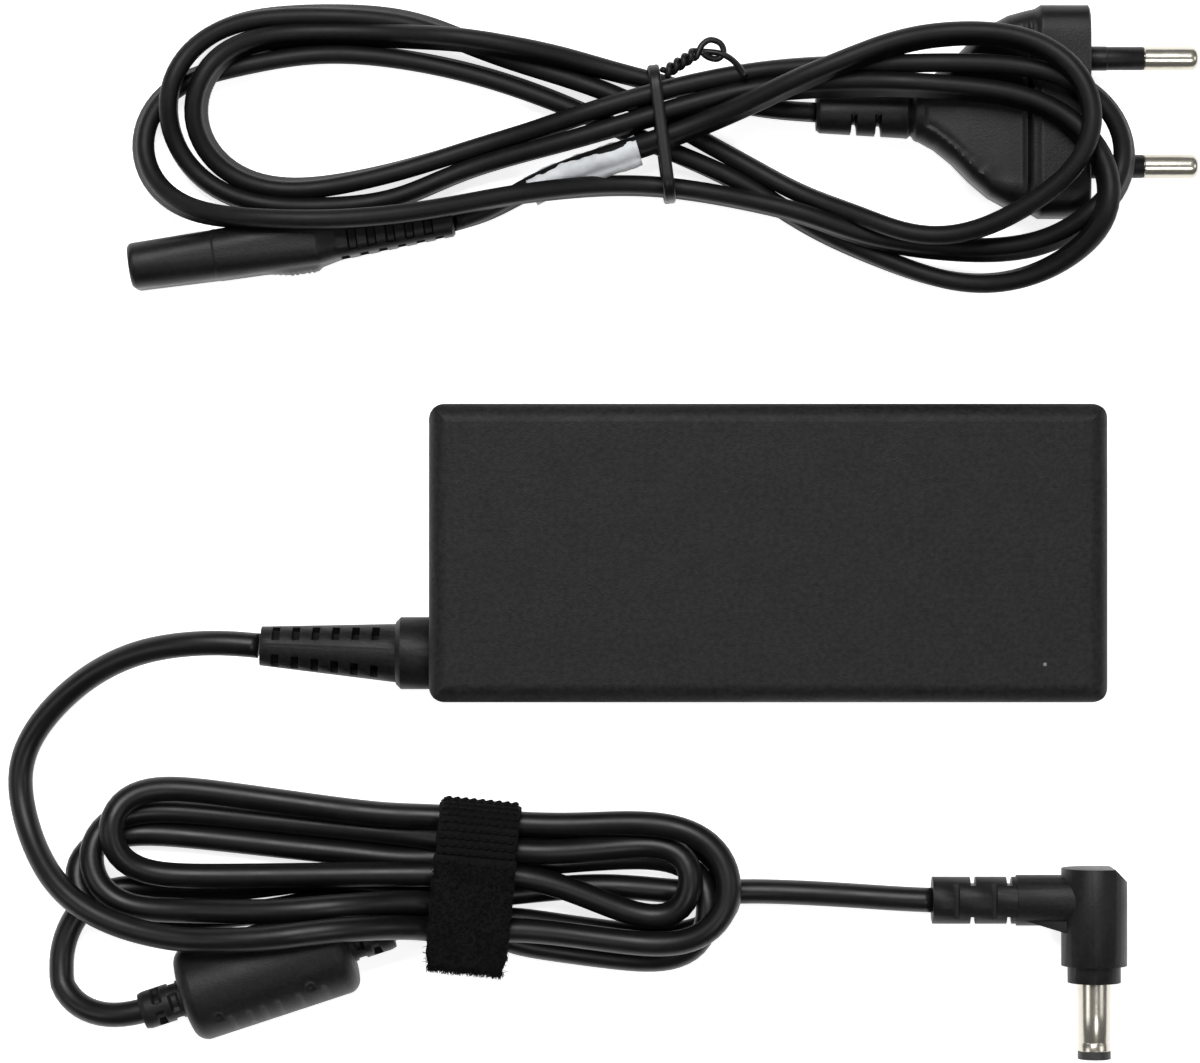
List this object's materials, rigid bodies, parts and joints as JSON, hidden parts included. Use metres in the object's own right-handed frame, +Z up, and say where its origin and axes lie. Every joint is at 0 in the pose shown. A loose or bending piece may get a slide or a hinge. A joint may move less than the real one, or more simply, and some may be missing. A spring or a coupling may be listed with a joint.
{
  "type": "laptop power adapter",
  "caption": "Black mains adapter brick with a bundled DC lead, ferrite bead and right-angle barrel plug, and a coiled mains lead.",
  "frame": {"origin": "centre of the brick's underside, on the surface that the adapter lies on", "axes": "+X along the brick towards the mains inlet, +Y across it towards the mains lead, +Z up"},
  "size_m": [0.1973, 0.1744, 0.0295],
  "materials": {
    "case_plastic": "fine matt texture",
    "label_film": "matt",
    "clear_plastic": "gloss",
    "inlet_plastic": "satin",
    "nickel": "bright nickel plate",
    "soft_moulding": "matt moulded",
    "cord_jacket": "satin",
    "hook_and_loop": "hooks and loop pile",
    "plug_plastic": "satin",
    "tie_jacket": "satin",
    "tag_film": "matt",
    "board_laminate": "satin",
    "clear_film": "gloss",
    "heatsink_metal": "mill",
    "screw_steel": "plain",
    "component_black": "moulded",
    "sleeve_blue": "heat-shrunk sleeve",
    "case_yellow": "gloss",
    "ferrite": "sintered",
    "core_green": "painted",
    "copper_wire": "enamelled",
    "tape_yellow": "gloss",
    "ceramic_blue": "gloss",
    "ceramic_green": "gloss",
    "white_plastic": "matt",
    "led_green": "gloss",
    "wire_brown": "satin",
    "wire_red": "satin",
    "contact_metal": "spring bronze"
  },
  "bodies": {
    "adapter": {"top_shell": "case_plastic", "bottom_shell": "case_plastic", "rating_label": "label_film", "light_pipe": "clear_plastic", "inlet_housing": "inlet_plastic", "inlet_pin_left": "nickel", "inlet_pin_right": "nickel", "dc_strain_relief": "soft_moulding", "circuit_board": "board_laminate", "insulating_film": "clear_film", "primary_heatsink": "heatsink_metal", "secondary_heatsink": "heatsink_metal", "heatsink_screws": "screw_steel", "fuse": "component_black", "x_capacitor": "case_yellow", "choke_core": "core_green", "choke_windings": "copper_wire", "bridge_rectifier": "component_black", "bulk_capacitor": "sleeve_blue", "transformer_core": "ferrite", "transformer_bobbin": "component_black", "transformer_winding": "tape_yellow", "power_transistor": "component_black", "output_rectifier": "component_black", "output_capacitors": "sleeve_blue", "output_inductor": "copper_wire", "y_capacitor": "ceramic_blue", "optocoupler": "white_plastic", "control_chip": "component_black", "thermistor": "ceramic_green", "indicator_led": "led_green", "inlet_wires": "wire_brown", "output_wires": "wire_red", "dc_cord_exit": "cord_jacket", "dc_cord_hank": "cord_jacket", "dc_cord_bead_loop": "cord_jacket", "dc_cord_return": "cord_jacket", "dc_cord_plug_end": "cord_jacket", "ferrite_cover": "soft_moulding", "ferrite_core": "ferrite", "cable_strap": "hook_and_loop", "plug_grip": "soft_moulding", "plug_barrel": "nickel", "plug_tip_ring": "component_black", "plug_inner_contact": "contact_metal"},
    "strap_end": {"strap_tail": "hook_and_loop"},
    "mains_lead": {"connector_body": "plug_plastic", "connector_contact_upper": "contact_metal", "connector_contact_lower": "contact_metal", "mains_cord_start": "cord_jacket", "mains_cord_left_coil": "cord_jacket", "mains_cord_crossing": "cord_jacket", "mains_cord_right_coil": "cord_jacket", "mains_cord_end": "cord_jacket", "twist_tie": "tie_jacket", "cord_tag": "tag_film", "mains_plug_body": "plug_plastic", "pin_sleeves": "plug_plastic", "mains_pin_upper": "nickel", "mains_pin_lower": "nickel"}
  },
  "joints": [
    {"name": "strap_peel", "type": "hinge", "parent": "adapter", "child": "strap_end", "pos_m": [-0.04741, -0.04992, 0.01305], "axis": [-0.9956, 0.0941, 0], "range_deg": [0, 150]},
    {"name": "mains_lead_lift", "type": "slide", "parent": "adapter", "child": "mains_lead", "axis": [0, 0, 1], "range_m": [0, 0.06]}
  ]
}
